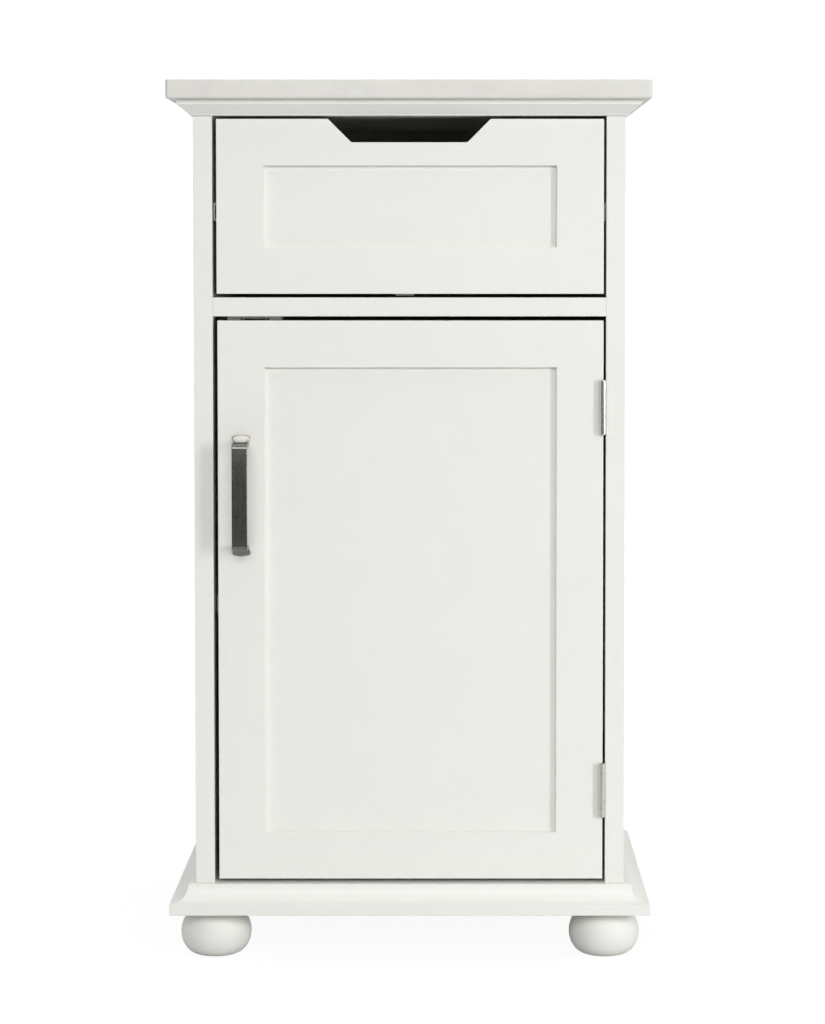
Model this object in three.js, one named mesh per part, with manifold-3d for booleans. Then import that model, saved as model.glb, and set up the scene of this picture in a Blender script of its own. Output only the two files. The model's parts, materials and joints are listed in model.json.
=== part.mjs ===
// A small painted apothecary cabinet with a marble top, one drawer and one hinged door.
// Millimetres. X runs to the right, Y to the back, Z up. The floor is Z = 0 and the front faces -Y.

import * as THREE from 'three';
import { mergeVertices } from 'three/addons/utils/BufferGeometryUtils.js';
import Module from 'manifold-3d';

const wasm = await Module();
wasm.setup();

// ---- Driving dimensions -------------------------------------------------------------------

const CARCASS_WIDTH = 412;
const CARCASS_FRONT = -149;
const CARCASS_BACK = 177;
const BOARD = 18;
const HALF = CARCASS_WIDTH / 2;
const INNER = HALF - BOARD;

const BASE_BOTTOM = 45;
const FLOOR_TOP = 71.5;
const DIVIDER_BOTTOM = 617.5;
const DIVIDER_TOP = DIVIDER_BOTTOM + BOARD;
const SIDES_TOP = 808.5;
const TOP_PANEL_THICK = 15;
const SLAB_BOTTOM = SIDES_TOP + TOP_PANEL_THICK;
const SLAB_THICK = 18;
const SLAB_OVERHANG = 24;
const SLAB_CORNER = 3;
const SLAB_LOWER_EASE = 2.6;
const SLAB_UPPER_EASE = 1.2;

const BASE_PROUD = 24;
const BASE_FILLET = 10.3;
const BASE_TOP_PROUD = 6.7;
const CORNICE_PROUD = 14.5;
const CORNICE_FILLET = 4.7;
const CORNICE_FOOT = 3;
const CORNICE_LIP = 0.8;
const MITRE_GAP = 0.1;

const BACK_THICK = 5;
const BACK_REBATE = 8;

const FOOT_RADIUS = 34;
const FOOT_FLAT_RADIUS = 17;
const FOOT_HEIGHT = 43;
const FOOT_INSET = 42;
const STUD_RADIUS = 4;
const STUD_BOTTOM = 18;
const STUD_TOP = 64;

const FRAME_WIDTH = 45;
const DRAWER_RAIL = 44.5;
const RECESS = 5.5;
const PANEL_THICK = 6;
const GROOVE_DEPTH = 8;
const TENON = 7;
const FIT = 0.2;

const DOOR_LEFT = -183.5;
const DOOR_RIGHT = 185.5;
const DOOR_BOTTOM = 75.5;
const DOOR_TOP = 613.5;

const DRAWER_LEFT = -184.1;
const DRAWER_RIGHT = 185.5;
const DRAWER_BOTTOM = 639;
const DRAWER_TOP = 805.5;
const NOTCH_TOP = 155;
const NOTCH_FLOOR = 110.6;
const NOTCH_DEPTH = 22.2;

const SLIDE_HEIGHT = 17;
const SLIDE_THICK = 10;
const SLIDE_Z = 717.5;
const SLIDE_LENGTH = 290;
const SLIDE_WALL = 1.2;
const OUTER_LIP = 7.5;
const INNER_LIP = 3.2;
const INNER_HALF = 4.5;
const CAGE_STRIP = 0.8;
const CAGE_ROW = 5.9;
const CAGE_WEB = 1.7;
const CAGE_REACH = 6.8;
const CAGE_LENGTH = 74;
const CAGE_START = 108;
const BALL_RADIUS = 1.15;
const BALLS_PER_ROW = 6;

const BOX_BOARD = 12;
const BOX_HALF = INNER - SLIDE_THICK;
const BOX_BOTTOM = 655;
const BOX_TOP = 780;
const BOX_DEPTH = 290;
const BOX_FLOOR_BOTTOM = 661;
const BOX_FLOOR_THICK = 4;
const BOX_GROOVE = 5.2;
const BATTEN_LEFT = -14;
const BATTEN_RIGHT = 4;
const BATTEN_BOTTOM = 637;

const PIN_ROWS = [-105, 140];
const PIN_HOLES = [265.5, 297.5, 329.5, 361.5, 393.5];
const PIN_LEVEL = PIN_HOLES[2];
const PIN_RADIUS = 2.5;
const PIN_HOLE_DEPTH = 9;
const SHELF_THICK = 15;
const SHELF_HALF = INNER - 1.2;
const SHELF_FRONT = -122;

const BARREL_X = 185;
const BARREL_Y = CARCASS_FRONT - 3.6;
const LEAF_JOINT_X = DOOR_RIGHT + 1.25;
const HINGE_HEIGHT = 50.8;
const HINGE_CENTRES = { upper: 530.5, lower: 162 };
const LEAF_THICK = 1.2;
const LEAF_CLEARANCE = 0.05;
const LEAF_DEPTH = 17;
const LEAF_FRONT = CARCASS_FRONT + 0.2;
const KNUCKLES = 6;
const KNUCKLE_GAP = 0.15;
const BARREL_RADIUS = 3.5;
const PIN_SHAFT = 1.5;
const PIN_BORE = 1.58;

const PULL_X = -161;
const PULL_Z = 446;
const PULL_HEIGHT = 101.8;
const PULL_WIDTH = 14.6;
const PULL_PROUD = 28;
const STRAP = 3.2;
const PULL_TAB = 7.6;
const PULL_TAB_WIDTH = 17;
const PULL_SCREW_SPACING = 104;
const PULL_BEND = 4;
const SCREW_RADIUS = 2;

const CATCH_X = -149;
const CATCH_WIDTH = 52.6;
const CATCH_SLOT = 27.6;
const CATCH_HEIGHT = 13;
const CATCH_DEPTH = 18;
const CATCH_SLOT_DEPTH = 11.5;
const CATCH_ROOF = 2.6;
const CATCH_STANDOFF = 1.7;
const MAGNET_STANDOFF = 1.5;
const STRIKE_HALF = 19;
const STRIKE_HEIGHT = 13;
const STRIKE_THICK = 1.2;

// ---- Materials ----------------------------------------------------------------------------

const FINISHES = {
  paint: { color: 0xeceee8, roughness: 0.45, metalness: 0 },
  inner_paint: { color: 0xe4e5df, roughness: 0.6, metalness: 0 },
  marble: { color: 0xdedcd6, roughness: 0.3, metalness: 0 },
  brushed_nickel: { color: 0x9a968c, roughness: 0.35, metalness: 1 },
  bright_nickel: { color: 0xc2bfb6, roughness: 0.2, metalness: 1 },
  zinc_steel: { color: 0x9fa3a6, roughness: 0.4, metalness: 1 },
  pale_plastic: { color: 0xc9c8c2, roughness: 0.5, metalness: 0 },
  magnet: { color: 0x2c2b29, roughness: 0.6, metalness: 0.2 },
};

// ---- Helpers ------------------------------------------------------------------------------

function addPart(group, name, finish, geometry) {
  const mesh = new THREE.Mesh(geometry, new THREE.MeshStandardMaterial(FINISHES[finish]));
  mesh.name = name;
  group.add(mesh);
}

function box(x, y, z) {
  const geometry = new THREE.BoxGeometry(x[1] - x[0], y[1] - y[0], z[1] - z[0]);
  return geometry.translate((x[0] + x[1]) / 2, (y[0] + y[1]) / 2, (z[0] + z[1]) / 2);
}

function outline(points) {
  return new THREE.Shape(points.map((point) => new THREE.Vector2(point[0], point[1])));
}

function extrude(shape, depth, curveSegments = 8) {
  return new THREE.ExtrudeGeometry(shape, { depth, bevelEnabled: false, curveSegments });
}

// The outline's axes become the two named row axes, and the solid runs along the third.
function extrudeAlongX(shape, x0, x1, curveSegments) {
  const turn = new THREE.Matrix4().makeBasis(
    new THREE.Vector3(0, 1, 0),
    new THREE.Vector3(0, 0, 1),
    new THREE.Vector3(1, 0, 0),
  );
  return extrude(shape, x1 - x0, curveSegments).applyMatrix4(turn).translate(x0, 0, 0);
}

function extrudeAlongY(shape, y0, y1, curveSegments) {
  return extrude(shape, y1 - y0, curveSegments).rotateX(Math.PI / 2).translate(0, y1, 0);
}

function extrudeAlongZ(shape, z0, z1, curveSegments) {
  return extrude(shape, z1 - z0, curveSegments).translate(0, 0, z0);
}

// A cylinder along X, Y or Z between two ends, about a centre given by the other two coordinates.
function rod(axis, radius, from, to, centre, segments = 20) {
  const geometry = new THREE.CylinderGeometry(radius, radius, to - from, segments);
  const middle = (from + to) / 2;
  if (axis === 'x') {
    return geometry.rotateZ(Math.PI / 2).translate(middle, centre[0], centre[1]);
  }
  if (axis === 'y') {
    return geometry.translate(centre[0], middle, centre[1]);
  }
  return geometry.rotateX(Math.PI / 2).translate(centre[0], centre[1], middle);
}

function toSolid(geometry) {
  const bare = geometry.clone();
  bare.deleteAttribute('normal');
  bare.deleteAttribute('uv');
  const merged = mergeVertices(bare, 1e-4);
  return new wasm.Manifold(new wasm.Mesh({
    numProp: 3,
    vertProperties: new Float32Array(merged.attributes.position.array),
    triVerts: new Uint32Array(merged.index.array),
  }));
}

function toGeometry(solid) {
  const mesh = solid.getMesh();
  const geometry = new THREE.BufferGeometry();
  geometry.setAttribute('position', new THREE.BufferAttribute(mesh.vertProperties, 3));
  geometry.setIndex(new THREE.BufferAttribute(mesh.triVerts, 1));
  geometry.computeVertexNormals();
  return geometry;
}

function combine(base, added, removed) {
  let solid = toSolid(base);
  for (const geometry of added) {
    solid = solid.add(toSolid(geometry));
  }
  for (const geometry of removed) {
    solid = solid.subtract(toSolid(geometry));
  }
  return toGeometry(solid);
}

function mirrorX(geometry) {
  const mirrored = mergeVertices(geometry.clone().scale(-1, 1, 1), 1e-4);
  const index = mirrored.index.array;
  for (let i = 0; i < index.length; i += 3) {
    const swap = index[i];
    index[i] = index[i + 1];
    index[i + 1] = swap;
  }
  mirrored.computeVertexNormals();
  return mirrored;
}

// ---- Mouldings ----------------------------------------------------------------------------

// The outline is (distance out from the carcass, height). Mitred ends lengthen with that distance.
function mouldingStrip(shape, length, mitreStart, mitreEnd) {
  const geometry = extrude(shape, length, 6);
  const position = geometry.attributes.position;
  for (let i = 0; i < position.count; i += 1) {
    const atEnd = position.getZ(i) > length / 2;
    const slope = atEnd ? mitreEnd : -mitreStart;
    position.setZ(i, position.getZ(i) + slope * position.getX(i));
  }
  return geometry;
}

// out is the way the moulding faces, and the strip runs from the start point along out x up.
function placeStrip(geometry, out, start) {
  const up = new THREE.Vector3(0, 0, 1);
  const along = new THREE.Vector3().crossVectors(out, up);
  const turn = new THREE.Matrix4().makeBasis(out, up, along);
  return geometry.applyMatrix4(turn).translate(start[0], start[1], start[2]);
}

function addMouldings(group, name, shape, bottom) {
  const depth = CARCASS_BACK - CARCASS_FRONT - MITRE_GAP;
  const width = CARCASS_WIDTH - 2 * MITRE_GAP;
  const front = mouldingStrip(shape, width, 1, 1);
  const left = mouldingStrip(shape, depth, 1, 0);
  const right = mouldingStrip(shape, depth, 0, 1);
  const frontStart = [HALF - MITRE_GAP, CARCASS_FRONT, bottom];
  const leftStart = [-HALF, CARCASS_FRONT + MITRE_GAP, bottom];
  const rightStart = [HALF, CARCASS_BACK, bottom];
  addPart(group, `${name}_front`, 'paint', placeStrip(front, new THREE.Vector3(0, -1, 0), frontStart));
  addPart(group, `${name}_left`, 'paint', placeStrip(left, new THREE.Vector3(-1, 0, 0), leftStart));
  addPart(group, `${name}_right`, 'paint', placeStrip(right, new THREE.Vector3(1, 0, 0), rightStart));
}

function baseProfile() {
  const height = FLOOR_TOP - BASE_BOTTOM;
  const shape = new THREE.Shape();
  shape.moveTo(0, 0);
  shape.lineTo(BASE_PROUD, 0);
  shape.lineTo(BASE_PROUD, BASE_FILLET);
  shape.quadraticCurveTo(BASE_TOP_PROUD + 1.5, BASE_FILLET - 0.3, BASE_TOP_PROUD, height);
  shape.lineTo(0, height);
  shape.closePath();
  return shape;
}

function corniceProfile() {
  const shoulder = TOP_PANEL_THICK - CORNICE_FILLET;
  const shape = new THREE.Shape();
  shape.moveTo(0, 0);
  shape.lineTo(CORNICE_FOOT, 0);
  shape.lineTo(CORNICE_FOOT, CORNICE_LIP);
  shape.lineTo(CORNICE_PROUD, shoulder);
  shape.lineTo(CORNICE_PROUD, TOP_PANEL_THICK);
  shape.lineTo(0, TOP_PANEL_THICK);
  shape.closePath();
  return shape;
}

// ---- Marble slab --------------------------------------------------------------------------

function roundedRectangle(x0, x1, y0, y1, radius) {
  const shape = new THREE.Shape();
  shape.moveTo(x0 + radius, y0);
  shape.lineTo(x1 - radius, y0);
  shape.quadraticCurveTo(x1, y0, x1, y0 + radius);
  shape.lineTo(x1, y1 - radius);
  shape.quadraticCurveTo(x1, y1, x1 - radius, y1);
  shape.lineTo(x0 + radius, y1);
  shape.quadraticCurveTo(x0, y1, x0, y1 - radius);
  shape.lineTo(x0, y0 + radius);
  shape.quadraticCurveTo(x0, y0, x0 + radius, y0);
  return shape;
}

// A plate with both flat faces eased by the same amount.
function easedPlate(z0, z1, ease) {
  const half = HALF + SLAB_OVERHANG;
  const front = CARCASS_FRONT - SLAB_OVERHANG;
  const corner = Math.max(SLAB_CORNER - ease, 0.4);
  const shape = roundedRectangle(
    -half + ease,
    half - ease,
    front + ease,
    CARCASS_BACK - ease,
    corner,
  );
  const options = {
    depth: z1 - z0 - 2 * ease,
    bevelThickness: ease,
    bevelSize: ease,
    bevelSegments: 3,
    curveSegments: 3,
  };
  return new THREE.ExtrudeGeometry(shape, options).translate(0, 0, z0 + ease);
}

function marbleSlab() {
  const top = SLAB_BOTTOM + SLAB_THICK;
  const lower = toSolid(easedPlate(SLAB_BOTTOM, top + 10, SLAB_LOWER_EASE));
  const upper = toSolid(easedPlate(SLAB_BOTTOM - 10, top, SLAB_UPPER_EASE));
  return toGeometry(lower.intersect(upper));
}

// ---- Carcass ------------------------------------------------------------------------------

function footCentres() {
  const front = CARCASS_FRONT - BASE_PROUD + FOOT_INSET;
  const back = CARCASS_BACK - FOOT_INSET;
  return [
    ['front_left', -INNER, front],
    ['front_right', INNER, front],
    ['back_left', -INNER, back],
    ['back_right', INNER, back],
  ];
}

function bottomPanel() {
  const board = box([-HALF, HALF], [CARCASS_FRONT, CARCASS_BACK], [FLOOR_TOP - BOARD, FLOOR_TOP]);
  const holes = footCentres().map(([, x, y]) => (
    rod('z', STUD_RADIUS + 0.1, FLOOR_TOP - BOARD - 5, STUD_TOP + 1, [x, y])
  ));
  return combine(board, [], holes);
}

// The right-hand side: its back edge is rebated for the back panel, and its inner face has pin holes.
function sidePanel() {
  const shape = outline([
    [INNER, CARCASS_FRONT],
    [HALF, CARCASS_FRONT],
    [HALF, CARCASS_BACK],
    [INNER + BACK_REBATE, CARCASS_BACK],
    [INNER + BACK_REBATE, CARCASS_BACK - BACK_THICK],
    [INNER, CARCASS_BACK - BACK_THICK],
  ]);
  const holes = [];
  for (const y of PIN_ROWS) {
    for (const z of PIN_HOLES) {
      holes.push(rod('x', PIN_RADIUS + 0.1, INNER - 2, INNER + PIN_HOLE_DEPTH, [y, z], 16));
    }
  }
  return combine(extrudeAlongZ(shape, FLOOR_TOP, SIDES_TOP), [], holes);
}

function bunFoot() {
  const points = [new THREE.Vector2(0, 0)];
  const middle = FOOT_HEIGHT / 2;
  const steps = 14;
  for (let i = 0; i <= steps; i += 1) {
    const angle = -Math.PI / 2 + (Math.PI * i) / steps;
    const radius = FOOT_FLAT_RADIUS + (FOOT_RADIUS - FOOT_FLAT_RADIUS) * Math.cos(angle);
    points.push(new THREE.Vector2(radius, middle + middle * Math.sin(angle)));
  }
  const neckTop = FLOOR_TOP - BOARD;
  points.push(new THREE.Vector2(FOOT_FLAT_RADIUS, neckTop));
  points.push(new THREE.Vector2(STUD_RADIUS + 0.1, neckTop));
  points.push(new THREE.Vector2(STUD_RADIUS + 0.1, STUD_BOTTOM));
  points.push(new THREE.Vector2(0, STUD_BOTTOM));
  return new THREE.LatheGeometry(points, 40).rotateX(Math.PI / 2);
}

// A shelf pin on the right: a shaft into the board, a thin collar and a stub under the shelf.
function shelfPin() {
  const reach = 8;
  const points = [
    [0, -reach],
    [PIN_RADIUS, -reach],
    [PIN_RADIUS, -1],
    [4, -1],
    [4, 0],
    [PIN_RADIUS, 0],
    [PIN_RADIUS, PIN_HOLE_DEPTH - 1],
    [0, PIN_HOLE_DEPTH - 1],
  ].map((point) => new THREE.Vector2(point[0], point[1]));
  return new THREE.LatheGeometry(points, 16).rotateZ(-Math.PI / 2);
}

function buildCabinet(group) {
  addPart(group, 'marble_top', 'marble', marbleSlab());
  addMouldings(group, 'cornice', corniceProfile(), SIDES_TOP);
  addMouldings(group, 'base_moulding', baseProfile(), BASE_BOTTOM);

  const depth = [CARCASS_FRONT, CARCASS_BACK];
  const insideDepth = [CARCASS_FRONT, CARCASS_BACK - BACK_THICK];
  addPart(group, 'top_panel', 'inner_paint', box([-HALF, HALF], depth, [SIDES_TOP, SLAB_BOTTOM]));
  addPart(group, 'bottom_panel', 'paint', bottomPanel());
  addPart(group, 'side_panel_right', 'paint', sidePanel());
  addPart(group, 'side_panel_left', 'paint', mirrorX(sidePanel()));
  const backHalf = INNER + BACK_REBATE;
  const backDepth = [CARCASS_BACK - BACK_THICK, CARCASS_BACK];
  const back = box([-backHalf, backHalf], backDepth, [FLOOR_TOP, SIDES_TOP]);
  addPart(group, 'back_panel', 'inner_paint', back);
  const divider = box([-INNER, INNER], insideDepth, [DIVIDER_BOTTOM, DIVIDER_TOP]);
  addPart(group, 'divider_panel', 'paint', divider);

  const shelfDepth = [SHELF_FRONT, CARCASS_BACK - BACK_THICK - 2];
  const shelfBottom = PIN_LEVEL + PIN_RADIUS;
  const shelf = box([-SHELF_HALF, SHELF_HALF], shelfDepth, [shelfBottom, shelfBottom + SHELF_THICK]);
  addPart(group, 'shelf', 'inner_paint', shelf);
  PIN_ROWS.forEach((y, row) => {
    const place = row === 0 ? 'front' : 'back';
    const right = shelfPin().translate(INNER, y, PIN_LEVEL);
    addPart(group, `shelf_pin_${place}_left`, 'zinc_steel', mirrorX(right));
    addPart(group, `shelf_pin_${place}_right`, 'zinc_steel', right);
  });

  for (const [place, x, y] of footCentres()) {
    addPart(group, `foot_${place}`, 'paint', bunFoot().translate(x, y, 0));
    const stud = rod('z', STUD_RADIUS, STUD_BOTTOM + 2, STUD_TOP, [x, y]);
    addPart(group, `foot_stud_${place}`, 'zinc_steel', stud);
  }
}

// ---- Framed fronts ------------------------------------------------------------------------

const GROOVE_FRONT = CARCASS_FRONT + RECESS - FIT;
const GROOVE_BACK = CARCASS_FRONT + RECESS + PANEL_THICK + FIT;
const FACE_BACK = CARCASS_FRONT + BOARD;

// A stile with its groove on the edge at inner. outer is its other edge.
function stile(outer, inner, bottom, top) {
  const inward = Math.sign(outer - inner) * GROOVE_DEPTH;
  const shape = outline([
    [outer, CARCASS_FRONT],
    [inner, CARCASS_FRONT],
    [inner, GROOVE_FRONT],
    [inner + inward, GROOVE_FRONT],
    [inner + inward, GROOVE_BACK],
    [inner, GROOVE_BACK],
    [inner, FACE_BACK],
    [outer, FACE_BACK],
  ]);
  return extrudeAlongZ(shape, bottom, top);
}

// A rail between two stiles, with its groove on the edge at inner and a stub tenon at each end.
function rail(outer, inner, left, right, removed = []) {
  const inward = Math.sign(outer - inner) * GROOVE_DEPTH;
  const shape = outline([
    [CARCASS_FRONT, outer],
    [CARCASS_FRONT, inner],
    [GROOVE_FRONT, inner],
    [GROOVE_FRONT, inner + inward],
    [GROOVE_BACK, inner + inward],
    [GROOVE_BACK, inner],
    [FACE_BACK, inner],
    [FACE_BACK, outer],
  ]);
  const tenonDepth = [GROOVE_FRONT + FIT, GROOVE_BACK - FIT];
  const start = inner + inward;
  const tenonHeight = [Math.min(outer, start), Math.max(outer, start)];
  const tenons = [
    box([left - TENON, left + 1], tenonDepth, tenonHeight),
    box([right - 1, right + TENON], tenonDepth, tenonHeight),
  ];
  return combine(extrudeAlongX(shape, left, right), tenons, removed);
}

function framePanel(left, right, bottom, top) {
  const reach = GROOVE_DEPTH - 1;
  const depth = [CARCASS_FRONT + RECESS, CARCASS_FRONT + RECESS + PANEL_THICK];
  return box([left - reach, right + reach], depth, [bottom - reach, top + reach]);
}

function notchCutter() {
  const shape = outline([
    [-NOTCH_FLOOR / 2, DRAWER_TOP - NOTCH_DEPTH],
    [NOTCH_FLOOR / 2, DRAWER_TOP - NOTCH_DEPTH],
    [NOTCH_TOP / 2, DRAWER_TOP],
    [NOTCH_TOP / 2, DRAWER_TOP + 5],
    [-NOTCH_TOP / 2, DRAWER_TOP + 5],
    [-NOTCH_TOP / 2, DRAWER_TOP],
  ]);
  return extrudeAlongY(shape, CARCASS_FRONT - 5, FACE_BACK + 5);
}

// ---- Door ---------------------------------------------------------------------------------

function pullScrewHeights() {
  return [PULL_Z + PULL_SCREW_SPACING / 2, PULL_Z - PULL_SCREW_SPACING / 2];
}

// The bar and its two legs, as a rounded channel seen from the side (Y, Z).
function pullBar() {
  const front = CARCASS_FRONT - PULL_PROUD;
  const half = PULL_HEIGHT / 2;
  const outer = PULL_BEND;
  const inner = outer - STRAP + 0.6;
  const back = CARCASS_FRONT;
  const inside = front + STRAP;
  const shape = new THREE.Shape();
  shape.moveTo(back, half);
  shape.lineTo(front + outer, half);
  shape.absarc(front + outer, half - outer, outer, Math.PI / 2, Math.PI, false);
  shape.lineTo(front, -half + outer);
  shape.absarc(front + outer, -half + outer, outer, Math.PI, 1.5 * Math.PI, false);
  shape.lineTo(back, -half);
  shape.lineTo(back, -half + STRAP);
  shape.lineTo(inside + inner, -half + STRAP);
  shape.absarc(inside + inner, -half + STRAP + inner, inner, 1.5 * Math.PI, Math.PI, true);
  shape.lineTo(inside, half - STRAP - inner);
  shape.absarc(inside + inner, half - STRAP - inner, inner, Math.PI, Math.PI / 2, true);
  shape.lineTo(back, half - STRAP);
  shape.closePath();
  return extrudeAlongX(shape, -PULL_WIDTH / 2, PULL_WIDTH / 2, 6).translate(PULL_X, 0, PULL_Z);
}

// A foot tab against the door: it flares from the strap's width and ends in a shallow arc.
function pullTab(sign) {
  const root = sign * (PULL_HEIGHT / 2 - STRAP);
  const shoulder = sign * (PULL_HEIGHT / 2 + 0.5);
  const corner = sign * (PULL_HEIGHT / 2 + PULL_TAB - 2.6);
  const tip = sign * (PULL_HEIGHT / 2 + PULL_TAB + 2.2);
  const shape = new THREE.Shape();
  shape.moveTo(-PULL_WIDTH / 2, root);
  shape.lineTo(-PULL_WIDTH / 2, shoulder);
  shape.lineTo(-PULL_TAB_WIDTH / 2, corner);
  shape.quadraticCurveTo(0, tip, PULL_TAB_WIDTH / 2, corner);
  shape.lineTo(PULL_WIDTH / 2, shoulder);
  shape.lineTo(PULL_WIDTH / 2, root);
  shape.closePath();
  return extrudeAlongY(shape, CARCASS_FRONT - STRAP, CARCASS_FRONT, 8).translate(PULL_X, 0, PULL_Z);
}

function strapPull() {
  const depth = STRAP - 0.6;
  const holes = pullScrewHeights().map((z) => (
    rod('y', SCREW_RADIUS + 0.1, CARCASS_FRONT - depth, CARCASS_FRONT + 5, [PULL_X, z])
  ));
  return combine(pullBar(), [pullTab(1), pullTab(-1)], holes);
}

// A pan-head screw from behind the door into the pull's foot.
function pullScrew(z) {
  const reach = BOARD + STRAP - 1;
  const points = [
    [0, -reach],
    [SCREW_RADIUS, -reach],
    [SCREW_RADIUS, 0],
    [4, 0],
    [4, 1],
    [3.2, 2],
    [1.6, 2.4],
    [0, 2.4],
  ].map((point) => new THREE.Vector2(point[0], point[1]));
  return new THREE.LatheGeometry(points, 20).translate(PULL_X, FACE_BACK, z);
}

// One leaf of a butt hinge. side is +1 for the leaf on the cabinet and -1 for the one on the door.
// The plates lie in the gap beside the door, and the barrel stands in front of the door's edge.
function hingeLeaf(side, centre) {
  const near = LEAF_JOINT_X + side * LEAF_CLEARANCE;
  const far = near + side * LEAF_THICK;
  const across = [Math.min(near, far), Math.max(near, far)];
  const bottom = centre - HINGE_HEIGHT / 2;
  const pitch = HINGE_HEIGHT / KNUCKLES;
  const plate = box(across, [LEAF_FRONT, LEAF_FRONT + LEAF_DEPTH], [bottom, bottom + HINGE_HEIGHT]);
  const neckFront = BARREL_Y + (side > 0 ? 0.8 : 1.7);
  const first = side > 0 ? 0 : 1;
  const added = [];
  const bores = [];
  for (let i = first; i < KNUCKLES; i += 2) {
    const z0 = bottom + i * pitch + (i === 0 ? 0 : KNUCKLE_GAP / 2);
    const z1 = bottom + (i + 1) * pitch - (i === KNUCKLES - 1 ? 0 : KNUCKLE_GAP / 2);
    added.push(rod('z', BARREL_RADIUS, z0, z1, [BARREL_X, BARREL_Y], 24));
    added.push(box(across, [neckFront, LEAF_FRONT + 0.5], [z0, z1]));
    bores.push(rod('z', PIN_BORE, z0 - 1, z1 + 1, [BARREL_X, BARREL_Y], 16));
  }
  return combine(plate, added, bores);
}

function hingePin(centre) {
  const half = HINGE_HEIGHT / 2;
  const points = [
    [0, -half - 1],
    [1.4, -half - 1],
    [2.2, -half - 0.1],
    [PIN_SHAFT, -half - 0.1],
    [PIN_SHAFT, half + 0.1],
    [2.4, half + 0.1],
    [2.4, half + 0.6],
    [1.4, half + 1.1],
    [0, half + 1.1],
  ].map((point) => new THREE.Vector2(point[0], point[1]));
  return new THREE.LatheGeometry(points, 16).rotateX(Math.PI / 2).translate(BARREL_X, BARREL_Y, centre);
}

function catchBody() {
  const half = CATCH_WIDTH / 2;
  const slot = CATCH_SLOT / 2;
  const front = FACE_BACK + CATCH_STANDOFF;
  const back = front + CATCH_DEPTH;
  const shape = outline([
    [-half, front],
    [-slot, front],
    [-slot, front + CATCH_SLOT_DEPTH],
    [slot, front + CATCH_SLOT_DEPTH],
    [slot, front],
    [half, front],
    [half, back],
    [-half, back],
  ]);
  const roofBottom = DIVIDER_BOTTOM - CATCH_ROOF;
  const body = extrudeAlongZ(shape, DIVIDER_BOTTOM - CATCH_HEIGHT, roofBottom + 0.5);
  const roof = box([-half, half], [front, back], [roofBottom, DIVIDER_BOTTOM]);
  return combine(body, [roof], []).translate(CATCH_X, 0, 0);
}

function buildDoor(door, cabinet) {
  const left = DOOR_LEFT + FRAME_WIDTH;
  const right = DOOR_RIGHT - FRAME_WIDTH;
  const bottom = DOOR_BOTTOM + FRAME_WIDTH;
  const top = DOOR_TOP - FRAME_WIDTH;
  const screwHoles = pullScrewHeights().map((z) => (
    rod('y', SCREW_RADIUS + 0.1, CARCASS_FRONT - 1, FACE_BACK + 1, [PULL_X, z])
  ));
  const pullStile = combine(stile(DOOR_LEFT, left, DOOR_BOTTOM, DOOR_TOP), [], screwHoles);
  addPart(door, 'door_stile_left', 'paint', pullStile);
  addPart(door, 'door_stile_right', 'paint', mirrorX(stile(-DOOR_RIGHT, -right, DOOR_BOTTOM, DOOR_TOP)));
  addPart(door, 'door_rail_top', 'paint', rail(DOOR_TOP, top, left, right));
  addPart(door, 'door_rail_bottom', 'paint', rail(DOOR_BOTTOM, bottom, left, right));
  addPart(door, 'door_panel', 'paint', framePanel(left, right, bottom, top));

  addPart(door, 'pull', 'brushed_nickel', strapPull());
  pullScrewHeights().forEach((z, i) => {
    addPart(door, `pull_screw_${i === 0 ? 'upper' : 'lower'}`, 'zinc_steel', pullScrew(z));
  });

  for (const [place, centre] of Object.entries(HINGE_CENTRES)) {
    addPart(door, `hinge_${place}_door_leaf`, 'bright_nickel', hingeLeaf(-1, centre));
    addPart(cabinet, `hinge_${place}_frame_leaf`, 'bright_nickel', hingeLeaf(1, centre));
    addPart(cabinet, `hinge_${place}_pin`, 'bright_nickel', hingePin(centre));
  }

  addPart(cabinet, 'catch_body', 'pale_plastic', catchBody());
  const slot = CATCH_SLOT / 2 - FIT;
  const magnet = box(
    [CATCH_X - slot, CATCH_X + slot],
    [FACE_BACK + MAGNET_STANDOFF, FACE_BACK + CATCH_STANDOFF + CATCH_SLOT_DEPTH - FIT],
    [DIVIDER_BOTTOM - CATCH_HEIGHT + 1, DIVIDER_BOTTOM - CATCH_ROOF - FIT],
  );
  addPart(cabinet, 'catch_magnet', 'magnet', magnet);
  const strike = box(
    [CATCH_X - STRIKE_HALF, CATCH_X + STRIKE_HALF],
    [FACE_BACK, FACE_BACK + STRIKE_THICK],
    [DOOR_TOP - STRIKE_HEIGHT - 1, DOOR_TOP - 1],
  );
  addPart(door, 'strike_plate', 'zinc_steel', strike);
}

// ---- Drawer -------------------------------------------------------------------------------

// The right-hand box side, grooved for the box floor.
function boxSide() {
  const inner = BOX_HALF - BOX_BOARD;
  const shape = outline([
    [inner, BOX_BOTTOM],
    [BOX_HALF, BOX_BOTTOM],
    [BOX_HALF, BOX_TOP],
    [inner, BOX_TOP],
    [inner, BOX_FLOOR_BOTTOM + BOX_FLOOR_THICK + FIT],
    [inner + BOX_GROOVE, BOX_FLOOR_BOTTOM + BOX_FLOOR_THICK + FIT],
    [inner + BOX_GROOVE, BOX_FLOOR_BOTTOM - FIT],
    [inner, BOX_FLOOR_BOTTOM - FIT],
  ]);
  return extrudeAlongY(shape, FACE_BACK, FACE_BACK + BOX_DEPTH);
}

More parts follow.
